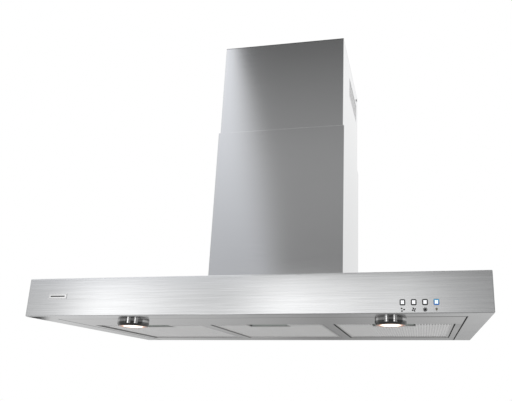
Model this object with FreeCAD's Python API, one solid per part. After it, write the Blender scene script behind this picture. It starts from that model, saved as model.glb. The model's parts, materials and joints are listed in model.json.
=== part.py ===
import FreeCAD, Part
import math
import os

# Canopy range hood for the wall: a wide flat canopy under a telescoping chimney.
# Millimetres. X runs to the right seen from the front, Y towards the wall, Z up.
# The origin is the centre of the four wall screws, on the wall plane.

# Canopy
canopy_width = 900.0
canopy_depth = 500.0
canopy_height = 76.0
sheet = 1.0
bend_radius = 1.8
bottom_flange = 42.0
top_flange = 20.0
flange_lip = 8.0
panel_groove = 1.5
panel_overlap = 6.0
overrun = 5.0

# Filter openings in the underside panel
opening_count = 3
opening_end_gap = 57.5
opening_divider = 22.0
opening_setback = 149.0
opening_back_gap = 70.0
opening_lip = 8.0

# Wall plate and wall screws
plate_width = 276.0
plate_height = 270.0
plate_thickness = 2.0
plate_foot = 20.0
plate_foot_length = 18.0
wall_hole_radius = 4.5
wall_hole_spacing_x = 254.0
wall_hole_spacing_z = 180.0
lower_hole_radius = 3.5
lower_hole_end_gap = 70.0

# Chimney covers
chimney_width = 314.0
chimney_depth = 300.0
lower_cover_height = 405.0
upper_cover_height = 420.0
upper_cover_overlap = 178.0
cover_gap = 2.0
cover_return = 12.0
running_gap = 0.3
glide_height = 30.0
glide_width = 14.0
glide_drop = 6.0

# Chimney bracket and its screws
bracket_height = 25.0
bracket_drop = 6.0
bracket_thickness = 2.0
bracket_arm = 42.0
bracket_hole_radius = 3.0
bracket_hole_spacing = 200.0
bracket_notch_gap = 2.0
screw_radius = 2.0
screw_head_radius = 4.0
screw_head_height = 2.2
screw_length = 8.0
screw_hole_gap = 0.2

# Side outlets of the upper cover
vent_depth = 150.0
vent_height = 52.0
vent_setback = 36.0
vent_drop = 42.0
vent_border = 6.0
vent_thickness = 1.5
vent_slots = 5
vent_slot_share = 0.56
vent_slat = 1.0
vent_slat_reach = 2.6

# Blower box
box_width = 208.0
box_depth = 222.0
box_height = 250.0
box_foot = 12.0
box_opening_border = 8.0

# Scroll housing and fan wheel
scroll_width = 130.0
scroll_wall = 2.0
scroll_start = 76.0
scroll_end = 100.0
scroll_floor = 25.0
wheel_radius = 70.0
wheel_inner_radius = 57.0
wheel_width = 114.0
wheel_ring = 3.0
wheel_web = 2.0
blade_count = 36
blade_thickness = 1.2
blade_tilt = 24.0
blade_margin = 0.6
hub_radius = 12.0
hub_behind = 5.0
hub_front = 14.0
inlet_radius = 50.0
inlet_wall = 1.5
inlet_flange = 9.0
inlet_lip = 4.0

# Motor
motor_radius = 42.0
motor_gap = 8.0
motor_rim = 3.0
motor_rim_depth = 1.2
shaft_radius = 4.0
shaft_fit = 0.05
shaft_depth = 36.0
spider_thickness = 2.0
spider_radius = 30.0
spider_arm_width = 14.0
spider_arms = 3
grommet_radius = 5.0
grommet_height = 3.0
grommet_circle = 66.0
capacitor_radius = 14.0
capacitor_height = 60.0
capacitor_stud = 8.0
capacitor_stud_radius = 4.0

# Outlet collar and damper
duct_radius = 75.0
collar_wall = 2.5
collar_height = 48.0
collar_flange = 12.0
collar_flange_thickness = 3.0
damper_height = 17.0
damper_pin_radius = 2.0
damper_pin_fit = 0.08
damper_barrel_radius = 4.0
damper_plate = 1.2
damper_rim_gap = 1.5
damper_seat = 3.0
damper_seat_thickness = 1.5
damper_edge_gap = 0.6
damper_barrel_length = 27.0
damper_barrel_gap = 2.0

# Grease filters
filter_gap = 1.5
filter_recess = 1.0
filter_height = 12.0
filter_rail = 6.0
filter_skin = 0.8
mesh_thickness = 3.5
mesh_groove_depth = 1.4
mesh_pitch = 4.4
mesh_bar = 1.5
mesh_rows = 5
mesh_row_bar = 2.4
rear_tab_width = 24.0
rear_tab_reach = 8.0
rear_tab_thickness = 1.5
rear_tab_spread_share = 0.62

# Filter latch
handle_width = 88.0
handle_depth = 40.0
handle_wall = 1.5
handle_floor = 1.0
latch_gap = 0.4
latch_thickness = 1.5
latch_tongue_width = 40.0
latch_engagement = 4.0
latch_travel = 4.5
latch_spring_closed = 1.5
latch_grip_thickness = 2.0
latch_side_gap = 2.0
latch_spring_radius = 1.3
latch_spring_spread_share = 0.7

# Lamps
lamp_end_gap = 183.0
lamp_setback = 90.0
lamp_radius = 31.0
lamp_drop = 10.4
lamp_side = 5.8
lamp_bevel = 2.2
lamp_face = 6.0
lamp_lens_radius = 21.0
lamp_lens_recess = 0.8
lamp_lens_thickness = 2.7
lamp_lens_crown = 1.4
lamp_ledge = 1.5
lamp_sleeve_radius = 26.6
lamp_sleeve_wall = 2.0
lamp_sleeve_height = 12.0
lamp_hole_gap = 0.4
reflector_wall = 0.8
reflector_neck = 7.0
reflector_height = 15.0
bulb_radius = 4.5
bulb_length = 12.0
socket_radius = 10.0
socket_height = 14.0
clip_thickness = 0.8
clip_width = 10.0
clip_reach = 10.0
clip_height = 9.0

# Buttons
button_names = ["button_low", "button_medium", "button_high", "button_light"]
button_end_gap = 98.2
button_pitch = 19.6
button_rise = 20.0
button_width = 6.8
button_height = 7.6
button_corner = 1.4
button_proud = 1.1
button_body = 5.5
button_travel = 1.5
button_gap = 0.3
rim_width = 10.0
rim_height = 11.0
rim_corner = 2.4
rim_proud = 0.6
rim_fit = 0.1
housing_margin = 6.0
housing_plate = 2.0
housing_wall = 2.0
stem_radius = 1.6
stem_fit = 0.3
stem_entry = 2.0
switch_size = 7.0
switch_depth = 5.0
switch_floor = 0.5
board_thickness = 1.6

# Badge plate
badge_width = 39.0
badge_height = 10.0
badge_thickness = 0.8
badge_left_gap = 46.5
badge_rise = 34.6
badge_corner = 0.8

# Electrical parts
partition_gap = 3.0
control_width_share = 0.3
control_depth = 66.0
control_height = 40.0
control_wall = 2.0
control_lid = 3.0
control_place_share = -0.075
driver_width_share = 0.18
driver_depth = 48.0
driver_height = 28.0
driver_foot = 8.0
driver_foot_thickness = 2.0
driver_place_share = 0.262
service_margin = 10.0
terminal_width = 28.0
terminal_depth = 66.0
terminal_height = 56.0
terminal_rise = 60.0
terminal_setback = 70.0
gland_radius = 9.0
gland_bore = 4.0
gland_height = 20.0
gland_nut_height = 7.0
gland_nut_extra = 3.0

# Places that follow from the sizes
X_AXIS = FreeCAD.Vector(1, 0, 0)
Y_AXIS = FreeCAD.Vector(0, 1, 0)
Z_AXIS = FreeCAD.Vector(0, 0, 1)
half_width = canopy_width / 2
front = -canopy_depth
top_face = -plate_height / 2
canopy_top_edge = top_face + sheet
underside = canopy_top_edge - canopy_height
panel_inside = underside + sheet
top_inside = top_face - sheet
groove_x = half_width - bottom_flange
groove_y = front + bottom_flange
panel_half = groove_x - panel_groove
panel_front = groove_y + panel_groove
openings_front = front + opening_setback
openings_back = -opening_back_gap
opening_room = canopy_width - 2 * opening_end_gap - (opening_count - 1) * opening_divider
opening_width = opening_room / opening_count
lower_hole_spacing = canopy_width - 2 * lower_hole_end_gap
lamp_spacing = canopy_width - 2 * lamp_end_gap
control_width = control_width_share * lamp_spacing
control_x = control_place_share * lamp_spacing
driver_width = driver_width_share * lamp_spacing
driver_x = driver_place_share * lamp_spacing
button_first_x = half_width - button_end_gap - (len(button_names) - 1) * button_pitch
chimney_half = chimney_width / 2
lower_cover_top = top_face + lower_cover_height
upper_half = chimney_half - sheet - cover_gap
upper_front = -chimney_depth + sheet + cover_gap
upper_back = -plate_thickness - running_gap
upper_bottom = lower_cover_top - upper_cover_overlap
upper_top = upper_bottom + upper_cover_height
box_half = box_width / 2
box_front = -plate_thickness - box_depth
box_top = top_face + box_height
duct_y = -chimney_depth / 2
wheel_y = duct_y + scroll_end / 2
scroll_low = scroll_start + (scroll_end - scroll_start) * 2 / 3
wheel_z = top_face + scroll_floor + scroll_wall + scroll_low
scroll_half = scroll_width / 2
filter_face = underside + filter_recess
filter_top = filter_face + filter_height
filter_front = openings_front + filter_gap
filter_back = openings_back - filter_gap
filter_half = opening_width / 2 - filter_gap
lip_top = underside + opening_lip
latch_floor = lip_top + running_gap
pocket_front = filter_front + handle_wall
pocket_back = pocket_front + handle_depth + latch_travel + latch_spring_closed
tongue_tip = openings_front - latch_engagement
partition_y = tongue_tip - partition_gap
lamp_y = front + lamp_setback
button_z = underside + button_rise
opening_pitch = opening_width + opening_divider
opening_centres = [(i - (opening_count - 1) / 2) * opening_pitch for i in range(opening_count)]
filter_names = ["left", "middle", "right"]


def block(x0, x1, y0, y1, z0, z1):
    """A box between two corners."""
    return Part.makeBox(x1 - x0, y1 - y0, z1 - z0, FreeCAD.Vector(x0, y0, z0))


def rod(radius, length, base, axis):
    """A cylinder that starts at base and runs along axis."""
    return Part.makeCylinder(radius, length, FreeCAD.Vector(*base), axis)


def soften(shape, radius, test):
    """The shape with a fillet on each edge whose two ends pass the test."""
    chosen = [e for e in shape.Edges if all(test(v.Point) for v in e.Vertexes)]
    return shape.makeFillet(radius, chosen)


def on_plane(value, target):
    """True if two places are the same to within a small share of the sheet."""
    return abs(value - target) < sheet / 1000


def turned(points, centre_x, centre_y):
    """A solid of revolution about the vertical line through a centre, from (radius, height) points."""
    corners = [FreeCAD.Vector(centre_x + r, centre_y, z) for r, z in points]
    wire = Part.makePolygon(corners + corners[:1])
    return Part.Face(wire).revolve(FreeCAD.Vector(centre_x, centre_y, 0), Z_AXIS, 360)


def mirrored(shape):
    """The shape on the other side of the hood's middle plane."""
    return shape.mirror(FreeCAD.Vector(0, 0, 0), X_AXIS)


def save(name, shape):
    """Writes one sub-part as its own STEP file."""
    solids = shape.Solids
    if not solids or not shape.isValid():
        raise ValueError(name + " is not a valid solid")
    whole = solids[0] if len(solids) == 1 else Part.makeCompound(solids)
    whole.exportStep("parts/" + name + ".step")
    print(name, len(solids), round(sum(s.Volume for s in solids), 1))


def pan(x0, x1, y0, y1, z0, z1, radius, wall):
    """A sheet metal pan with a folded floor and four walls, open at the top."""
    outer = block(x0, x1, y0, y1, z0, z1)
    outer = soften(outer, radius, lambda p: on_plane(p.z, z0))
    inner = block(x0 + wall, x1 - wall, y0 + wall, y1 - wall, z0 + wall, z1 + overrun)
    inner = soften(inner, radius - wall, lambda p: on_plane(p.z, z0 + wall))
    return outer.cut(inner)


def screw(x, y, z, direction):
    """A pan-head screw whose head stands on a face at a place and whose shank runs against direction."""
    base = FreeCAD.Vector(x, y, z)
    head = Part.makeCylinder(screw_head_radius, screw_head_height, base, direction)
    crown = [e for e in head.Edges if on_plane(e.CenterOfMass.sub(base).dot(direction), screw_head_height)]
    head = head.makeFillet(screw_head_height / 2, crown)
    start = base.sub(direction * screw_length)
    shank = Part.makeCylinder(screw_radius, screw_length, start, direction)
    return head.fuse(shank).removeSplitter()


def screw_hole(x, y, z, direction):
    """The hole that a screw's shank passes through."""
    start = FreeCAD.Vector(x, y, z).sub(direction * (screw_length / 2))
    return Part.makeCylinder(screw_radius + screw_hole_gap, screw_length, start, direction)


def button_places():
    """The middle of each button on the fascia, as x and z."""
    return [(button_first_x + i * button_pitch, button_z) for i in range(len(button_names))]


def rounded_bar(width, height, corner, x, z, y0, y1):
    """A bar along Y with a rounded rectangular section."""
    bar = block(x - width / 2, x + width / 2, y0, y1, z - height / 2, z + height / 2)
    along = [e for e in bar.Edges if on_plane(e.BoundBox.YLength, y1 - y0)]
    return bar.makeFillet(corner, along)


# Canopy shell

def canopy_fascia():
    """Front and sides in one folded sheet, with the bottom flange, its lip and the top flange."""
    outer = block(-half_width, half_width, front, 0, underside, canopy_top_edge)
    folds = [e for e in outer.Edges if not on_plane(e.BoundBox.YMin, 0)]
    outer = outer.makeFillet(bend_radius, folds)
    inner = block(
        -half_width + sheet, half_width - sheet, front + sheet, overrun, panel_inside, top_face
    )
    shell = outer.cut(inner)
    shell = shell.cut(
        block(-groove_x, groove_x, groove_y, overrun, underside - overrun, panel_inside + overrun)
    )
    rim = half_width - top_flange
    shell = shell.cut(
        block(-rim, rim, front + top_flange, overrun, top_face - overrun, canopy_top_edge + overrun)
    )
    lip_height = underside + flange_lip
    shell = shell.fuse([
        block(-groove_x - sheet, groove_x + sheet, groove_y - sheet, groove_y, underside, lip_height),
        block(-groove_x - sheet, -groove_x, groove_y - sheet, 0, underside, lip_height),
        block(groove_x, groove_x + sheet, groove_y - sheet, 0, underside, lip_height),
    ]).removeSplitter()
    for x, z in button_places():
        hole_width = rim_width + 2 * rim_fit
        hole_height = rim_height + 2 * rim_fit
        shell = shell.cut(
            rounded_bar(hole_width, hole_height, rim_corner + rim_fit, x, z, front - overrun, front + overrun)
        )
    return shell


def box_screw_places():
    """Where the screws stand on the foot of the blower box, as x and y."""
    side_x = box_half + box_foot / 2
    rows = [box_front * 5 / 6, box_front / 2, box_front / 4]
    places = [(side * side_x, y) for side in (-1, 1) for y in rows]
    front_y = box_front - box_foot / 2
    return places + [(side * box_half / 2, front_y) for side in (-1, 1)]


def canopy_top():
    """The top plate, under the fascia's top flange, with the air opening below the blower box."""
    plate = block(-half_width + sheet, half_width - sheet, front + sheet, 0, top_inside, top_face)
    inset = box_half - box_opening_border
    plate = plate.cut(
        block(
            -inset, inset, box_front + box_opening_border, -plate_thickness - box_opening_border,
            top_inside - overrun, top_face + overrun,
        )
    )
    for x, y in box_screw_places():
        plate = plate.cut(screw_hole(x, y, top_face, Z_AXIS))
    return plate


def canopy_back():
    """The back plate, notched for the ends of the flange's lips, with a round hole near each end for
    the lower wall screws."""
    back = block(-half_width + sheet, half_width - sheet, -sheet, 0, panel_inside, top_inside)
    back = back.cut(
        block(groove_x, groove_x + sheet, -overrun, overrun, underside, underside + flange_lip)
    )
    back = back.cut(
        block(-groove_x - sheet, -groove_x, -overrun, overrun, underside, underside + flange_lip)
    )
    back = back.fuse(block(-groove_x, groove_x, -sheet, 0, underside, panel_inside)).removeSplitter()
    middle = (panel_inside + top_inside) / 2
    for side in (-1, 1):
        back = back.cut(
            rod(lower_hole_radius, 2 * overrun, (side * lower_hole_spacing / 2, -overrun, middle), Y_AXIS)
        )
    return back


def bottom_panel():
    """The underside pan: outer lips over the fascia's lip, three openings with lips, two lamp holes."""
    lip_edge = underside + flange_lip
    panel = pan(
        -panel_half, panel_half, panel_front, -sheet, underside, lip_edge + sheet, bend_radius, sheet
    )
    reach = panel_groove + sheet + panel_overlap
    panel = panel.fuse([
        block(-panel_half - reach, panel_half + reach, panel_front - reach, panel_front + sheet,
              lip_edge, lip_edge + sheet),
        block(-panel_half - reach, -panel_half + sheet, panel_front - reach, -sheet,
              lip_edge, lip_edge + sheet),
        block(panel_half - sheet, panel_half + reach, panel_front - reach, -sheet,
              lip_edge, lip_edge + sheet),
    ])
    for x in opening_centres:
        panel = panel.fuse(
            block(x - opening_width / 2 - sheet, x + opening_width / 2 + sheet,
                  openings_front - sheet, openings_back + sheet, underside, lip_top)
        )
        hole = block(x - opening_width / 2, x + opening_width / 2, openings_front, openings_back,
                     underside - overrun, lip_top + overrun)
        panel = panel.cut(hole)
    for side in (-1, 1):
        place = (side * lamp_spacing / 2, lamp_y, underside - overrun)
        panel = panel.cut(rod(lamp_sleeve_radius + lamp_hole_gap, 3 * overrun, place, Z_AXIS))
    return panel.removeSplitter()


def front_partition():
    """The upright plate that parts the lamp space from the air space, with a foot on the panel."""
    x = panel_half - bend_radius - running_gap
    wall = block(-x, x, partition_y - sheet, partition_y, panel_inside, top_inside)
    foot = block(-x, x, partition_y - sheet - panel_overlap, partition_y, panel_inside, panel_inside + sheet)
    return wall.fuse(foot).removeSplitter()


def badge_plate():
    """A small blank plate on the fascia."""
    x = -half_width + badge_left_gap + badge_width / 2
    z = underside + badge_rise + badge_height / 2
    return rounded_bar(badge_width, badge_height, badge_corner, x, z, front - badge_thickness, front)


# Chimney

def cover(half, y_front, y_back, z0, z1):
    """A folded chimney cover: front, two sides and the returns that face the wall."""
    outer = block(-half, half, y_front, y_back, z0, z1)
    upright = [e for e in outer.Edges if on_plane(e.BoundBox.ZLength, z1 - z0)]
    outer = outer.makeFillet(bend_radius, upright)
    inner = block(-half + sheet, half - sheet, y_front + sheet, y_back - sheet, z0 - overrun, z1 + overrun)
    upright = [e for e in inner.Edges if on_plane(e.BoundBox.ZLength, z1 - z0 + 2 * overrun)]
    inner = inner.makeFillet(bend_radius - sheet, upright)
    gap = half - cover_return
    window = block(-gap, gap, y_back - 2 * sheet, y_back + overrun, z0 - overrun, z1 + overrun)
    return outer.cut(inner).cut(window)


def lower_chimney_cover():
    """The lower cover, standing on the canopy's top plate."""
    return cover(chimney_half, -chimney_depth, 0, top_face, lower_cover_top)


def bracket_screw_place():
    """The height and depth of the two screws that hold the upper cover to its bracket."""
    return (-bracket_arm * 2 / 3, upper_top - bracket_drop - bracket_height / 2)


def upper_chimney_cover():
    """The upper cover, with a vent opening in each side and a notch for the bracket's arms."""
    shape = cover(upper_half, upper_front, upper_back, upper_bottom, upper_top)
    notch_bottom = upper_top - bracket_drop - bracket_height - bracket_notch_gap
    vent_top = upper_top - vent_drop
    y, z = bracket_screw_place()
    cuts = [
        block(-upper_half + sheet, upper_half - sheet, upper_back - 2 * sheet, overrun,
              notch_bottom, upper_top + overrun),
        block(-upper_half - overrun, upper_half + overrun, -vent_setback - vent_depth, -vent_setback,
              vent_top - vent_height, vent_top),
        screw_hole(upper_half, y, z, X_AXIS),
        screw_hole(-upper_half, y, z, X_AXIS * -1),
    ]
    for piece in cuts:
        shape = shape.cut(piece)
    return shape


def chimney_bracket():
    """The bracket behind the top of the upper cover: a web on the wall and two arms."""
    z1 = upper_top - bracket_drop
    z0 = z1 - bracket_height
    x = upper_half - sheet
    web = block(-x, x, -bracket_thickness, 0, z0, z1)
    arms = [
        block(-x, -x + bracket_thickness, -bracket_arm, 0, z0, z1),
        block(x - bracket_thickness, x, -bracket_arm, 0, z0, z1),
    ]
    shape = web.fuse(arms).removeSplitter()
    y, z = bracket_screw_place()
    for side in (-1, 1):
        shape = shape.cut(screw_hole(side * upper_half, y, z, X_AXIS * side))
        place = (side * bracket_hole_spacing / 2, -overrun, (z0 + z1) / 2)
        shape = shape.cut(rod(bracket_hole_radius, 2 * overrun, place, Y_AXIS))
    return shape


def cover_screws():
    """One screw in each side of the upper cover."""
    y, z = bracket_screw_place()
    return Part.makeCompound([screw(side * upper_half, y, z, X_AXIS * side) for side in (-1, 1)])


def vent_grille():
    """The right-hand side outlet: a slotted plate inside the cover, with a sloping slat above each slot."""
    x1 = upper_half - sheet
    x0 = x1 - vent_thickness
    y0 = -vent_setback - vent_depth
    y1 = -vent_setback
    z1 = upper_top - vent_drop
    z0 = z1 - vent_height
    plate = block(x0, x1, y0 - vent_border, y1 + vent_border, z0 - vent_border, z1 + vent_border)
    pitch = vent_height / vent_slots
    slot_height = pitch * vent_slot_share
    slats = []
    for i in range(vent_slots):
        z = z0 + (i + (1 - vent_slot_share) / 2) * pitch
        plate = plate.cut(
            block(x0 - overrun, x1 + overrun, y0 + vent_border, y1 - vent_border, z, z + slot_height)
        )
        outline = [
            FreeCAD.Vector(x0, 0, z + slot_height),
            FreeCAD.Vector(x0, 0, z + slot_height + vent_slat),
            FreeCAD.Vector(x0 - vent_slat_reach, 0, z + slot_height / 2 + vent_slat),
            FreeCAD.Vector(x0 - vent_slat_reach, 0, z + slot_height / 2),
        ]
        face = Part.Face(Part.makePolygon(outline + outline[:1]))
        slat = face.extrude(FreeCAD.Vector(0, vent_depth - 2 * vent_border, 0))
        slats.append(slat.translated(FreeCAD.Vector(0, y0 + vent_border, 0)))
    return plate.fuse(slats).removeSplitter()


def cover_glides():
    """Plastic glides inside the top of the lower cover, on which the upper cover slides."""
    z1 = lower_cover_top - glide_drop
    z0 = z1 - glide_height
    thick = cover_gap - running_gap
    x = chimney_half - sheet
    pieces = []
    for y in (-chimney_depth / 4, -chimney_depth * 3 / 4):
        for side in (-1, 1):
            ends = sorted((side * x, side * (x - thick)))
            pieces.append(block(ends[0], ends[1], y - glide_width / 2, y + glide_width / 2, z0, z1))
    y = -chimney_depth + sheet
    for middle in (-chimney_width / 4, chimney_width / 4):
        pieces.append(block(middle - glide_width / 2, middle + glide_width / 2, y, y + thick, z0, z1))
    return Part.makeCompound(pieces)


# Blower

def wall_plate():
    """The plate that carries the hood: four wall holes and two feet on the canopy's top."""
    shape = block(-plate_width / 2, plate_width / 2, -plate_thickness, 0, top_face, top_face + plate_height)
    for side in (-1, 1):
        ends = sorted((side * plate_width / 2, side * (plate_width / 2 - plate_foot_length)))
        foot = block(ends[0], ends[1], -plate_foot, 0, top_face, top_face + plate_thickness)
        shape = shape.fuse(foot)
        for z in (-wall_hole_spacing_z / 2, wall_hole_spacing_z / 2):
            place = (side * wall_hole_spacing_x / 2, -overrun, z)
            shape = shape.cut(rod(wall_hole_radius, 2 * overrun, place, Y_AXIS))
    return shape.removeSplitter()


def blower_box():
    """The sheet box round the blower, open below and behind, with a foot and a rear flange."""
    back = -plate_thickness
    shape = block(-box_half, box_half, box_front, back, top_face, box_top)
    shape = shape.cut(
        block(-box_half + sheet, box_half - sheet, box_front + sheet, overrun,
              top_face - overrun, box_top - sheet)
    )
    flange = box_half + box_foot
    shape = shape.fuse([
        block(-flange, -box_half + sheet, box_front - box_foot, back, top_face, top_face + sheet),
        block(box_half - sheet, flange, box_front - box_foot, back, top_face, top_face + sheet),
        block(-flange, flange, box_front - box_foot, box_front + sheet, top_face, top_face + sheet),
        block(-flange, -box_half + sheet, back - sheet, back, top_face, box_top),
        block(box_half - sheet, flange, back - sheet, back, top_face, box_top),
    ])
    shape = shape.cut(rod(duct_radius - collar_wall, 2 * overrun, (0, duct_y, box_top - overrun), Z_AXIS))
    for x, y in box_screw_places():
        shape = shape.cut(screw_hole(x, y, top_face, Z_AXIS))
    return shape.removeSplitter()


def blower_screws():
    """The screws in the foot of the blower box."""
    return Part.makeCompound([screw(x, y, top_face + sheet, Z_AXIS) for x, y in box_screw_places()])


def scroll_outline(extra, top):
    """The scroll's section: a radius that grows by equal steps round three quarter turns, then the outlet."""
    turns = 6

    def at(step):
        angle = math.radians(90 - step * 45)
        radius = scroll_start + (scroll_end - scroll_start) * step / turns + extra
        return FreeCAD.Vector(0, wheel_y + radius * math.cos(angle), wheel_z + radius * math.sin(angle))

    rise = math.sqrt((scroll_start + extra) ** 2 - extra ** 2)
    start = FreeCAD.Vector(0, wheel_y + extra, wheel_z + rise)
    marks = [start] + [at(i) for i in range(1, turns + 1)]
    edges = [Part.Arc(*marks[i:i + 3]).toShape() for i in range(0, turns, 2)]
    outlet = [
        marks[-1],
        FreeCAD.Vector(0, wheel_y - scroll_end - extra, top),
        FreeCAD.Vector(0, wheel_y + extra, top),
        start,
    ]
    edges += [Part.LineSegment(a, b).toShape() for a, b in zip(outlet, outlet[1:])]
    return Part.Face(Part.Wire(edges))


def along_axle(points):
    """A solid of revolution about the fan's axle, from (place along X, radius) points."""
    corners = [FreeCAD.Vector(x, wheel_y, wheel_z + r) for x, r in points]
    face = Part.Face(Part.makePolygon(corners + corners[:1]))
    return face.revolve(FreeCAD.Vector(0, wheel_y, wheel_z), X_AXIS, 360)


def inlet_ring():
    """The rolled ring round the right-hand inlet, with a flange outside and a lip inside."""
    x = scroll_half
    throat = inlet_radius
    return along_axle([
        (x - inlet_lip, throat), (x - inlet_lip, throat + inlet_wall), (x, throat + inlet_wall),
        (x, throat + inlet_flange), (x + inlet_wall, throat + inlet_flange), (x + inlet_wall, throat),
    ])


def volute():
    """The right half of the scroll housing, with its moulded inlet ring."""
    inside_top = box_top - sheet
    outer = scroll_outline(scroll_wall, inside_top).extrude(FreeCAD.Vector(scroll_half, 0, 0))
    inner = scroll_outline(0, inside_top + overrun).extrude(FreeCAD.Vector(scroll_half - scroll_wall, 0, 0))
    shape = outer.cut(inner)
    shape = shape.cut(rod(inlet_radius + inlet_wall, scroll_width, (0, wheel_y, wheel_z), X_AXIS))
    return shape.fuse(inlet_ring()).removeSplitter()


def impeller():
    """The double-inlet fan wheel: web, hub, two end rings and tilted blades."""
    half = wheel_width / 2
    web = wheel_web / 2
    wheel = along_axle([
        (-hub_behind, shaft_radius), (-hub_behind, hub_radius), (-web, hub_radius), (-web, wheel_radius),
        (web, wheel_radius), (web, hub_radius), (hub_front, hub_radius), (hub_front, shaft_radius),
    ])
    rings = [
        along_axle([(-half, wheel_inner_radius), (-half, wheel_radius),
                    (-half + wheel_ring, wheel_radius), (-half + wheel_ring, wheel_inner_radius)]),
        along_axle([(half - wheel_ring, wheel_inner_radius), (half - wheel_ring, wheel_radius),
                    (half, wheel_radius), (half, wheel_inner_radius)]),
    ]
    centre = FreeCAD.Vector(0, wheel_y, wheel_z)
    middle = (wheel_radius + wheel_inner_radius) / 2
    length = wheel_radius - wheel_inner_radius - 2 * blade_margin
    blades = []
    for i in range(blade_count):
        blade = block(
            -half + wheel_ring / 2, half - wheel_ring / 2,
            wheel_y + middle - length / 2, wheel_y + middle + length / 2,
            wheel_z - blade_thickness / 2, wheel_z + blade_thickness / 2,
        )
        blade.rotate(FreeCAD.Vector(0, wheel_y + middle, wheel_z), X_AXIS, blade_tilt)
        blade.rotate(centre, X_AXIS, i * 360 / blade_count)
        blades.append(blade)
    return wheel.fuse(rings + blades).removeSplitter()


def motor_front():
    """The place along X of the motor's front face."""
    return -motor_gap


def motor_back():
    """The place along X of the motor's rear face, on its spider."""
    return -scroll_half - grommet_height


def motor():
    """The motor, with a bore for its shaft and a rim at each end."""
    x0, x1 = motor_back(), motor_front()
    inner = motor_radius - motor_rim_depth
    bore = shaft_radius + shaft_fit
    return along_axle([
        (x0, 0), (x0, motor_radius), (x0 + motor_rim, motor_radius), (x0 + motor_rim, inner),
        (x1 - motor_rim, inner), (x1 - motor_rim, motor_radius), (x1, motor_radius), (x1, bore),
        (x1 - shaft_depth - shaft_fit, bore), (x1 - shaft_depth - shaft_fit, 0),
    ])


def motor_shaft():
    """The shaft from the motor into the wheel's hub."""
    x = motor_front() - shaft_depth
    return rod(shaft_radius, hub_front - x, (x, wheel_y, wheel_z), X_AXIS)


def grommet_places():
    """The middle of each rubber mount, as y and z."""
    angles = [math.radians(90 + i * 360 / spider_arms) for i in range(spider_arms)]
    return [
        (wheel_y + grommet_circle * math.cos(a), wheel_z + grommet_circle * math.sin(a)) for a in angles
    ]


def motor_bracket():
    """The spider on the motor's rear face, with an arm to each rubber mount."""
    x1 = motor_back()
    x0 = x1 - spider_thickness
    shape = rod(spider_radius, spider_thickness, (x0, wheel_y, wheel_z), X_AXIS)
    reach = grommet_circle + grommet_radius
    for i in range(spider_arms):
        arm = block(x0, x1, wheel_y - spider_arm_width / 2, wheel_y + spider_arm_width / 2,
                    wheel_z, wheel_z + reach)
        arm.rotate(FreeCAD.Vector(0, wheel_y, wheel_z), X_AXIS, i * 360 / spider_arms)
        shape = shape.fuse(arm)
    return shape.removeSplitter()


def motor_grommets():
    """Rubber mounts between the spider's arms and the scroll."""
    x = motor_back()
    return Part.makeCompound([
        rod(grommet_radius, grommet_height, (x, y, z), X_AXIS) for y, z in grommet_places()
    ])


def capacitor():
    """The motor's run capacitor, on the inner side of the blower box."""
    x = -box_half + sheet + capacitor_radius
    y = box_front + sheet + 2 * capacitor_radius
    body = rod(capacitor_radius, capacitor_height, (x, y, top_face + box_height / 2), Z_AXIS)
    stud = block(-box_half + sheet, x, y - capacitor_stud_radius, y + capacitor_stud_radius,
                 top_face + box_height / 2, top_face + box_height / 2 + capacitor_stud)
    return body.fuse(stud).removeSplitter()


def outlet_collar():
    """The collar for the duct, with a flange, a seat for the damper and holes for its pin."""
    z = box_top
    inner = duct_radius - collar_wall
    seat_top = z + damper_height - damper_barrel_radius - running_gap
    seat = inner - damper_seat - damper_rim_gap
    shape = turned([
        (inner, z), (duct_radius + collar_flange, z),
        (duct_radius + collar_flange, z + collar_flange_thickness),
        (duct_radius, z + collar_flange_thickness),
        (duct_radius, z + collar_height), (inner, z + collar_height),
        (inner, seat_top), (seat, seat_top), (seat, seat_top - damper_seat_thickness),
        (inner, seat_top - damper_seat_thickness),
    ], 0, duct_y)
    place = (-duct_radius - overrun, duct_y, z + damper_height)
    return shape.cut(rod(damper_pin_radius, 2 * duct_radius + 2 * overrun, place, X_AXIS))


def damper_pin():
    """The pin across the collar that carries both flaps."""
    return rod(damper_pin_radius, 2 * duct_radius, (-duct_radius, duct_y, box_top + damper_height), X_AXIS)


def damper_flap():
    """The front flap: a half disc with two barrels round the pin."""
    pin_z = box_top + damper_height
    radius = duct_radius - collar_wall - damper_rim_gap
    low = pin_z - damper_barrel_radius
    edge = damper_barrel_radius + damper_edge_gap
    plate = rod(radius, damper_plate, (0, duct_y, low), Z_AXIS)
    plate = plate.common(
        block(-radius, radius, duct_y - radius, duct_y - edge, low, low + damper_plate)
    )
    starts = [-damper_barrel_gap - 2 * damper_barrel_length - damper_barrel_gap / 2, damper_barrel_gap / 2]
    bores = []
    for x in starts:
        x1 = x + damper_barrel_length
        barrel = rod(damper_barrel_radius, damper_barrel_length, (x, duct_y, pin_z), X_AXIS)
        link = block(x, x1, duct_y - edge - damper_plate, duct_y, low, low + damper_plate)
        plate = plate.fuse([barrel, link])
        bores.append(
            rod(damper_pin_radius + damper_pin_fit, 2 * radius, (-radius, duct_y, pin_z), X_AXIS)
        )
    return plate.cut(bores[0]).removeSplitter()


# Grease filters

def handle_box(x):
    """The outside of the latch housing at the filter's front edge."""
    half = handle_width / 2 + handle_wall
    return block(x - half, x + half, filter_front, pocket_back + handle_wall, filter_face, filter_top)


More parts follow.
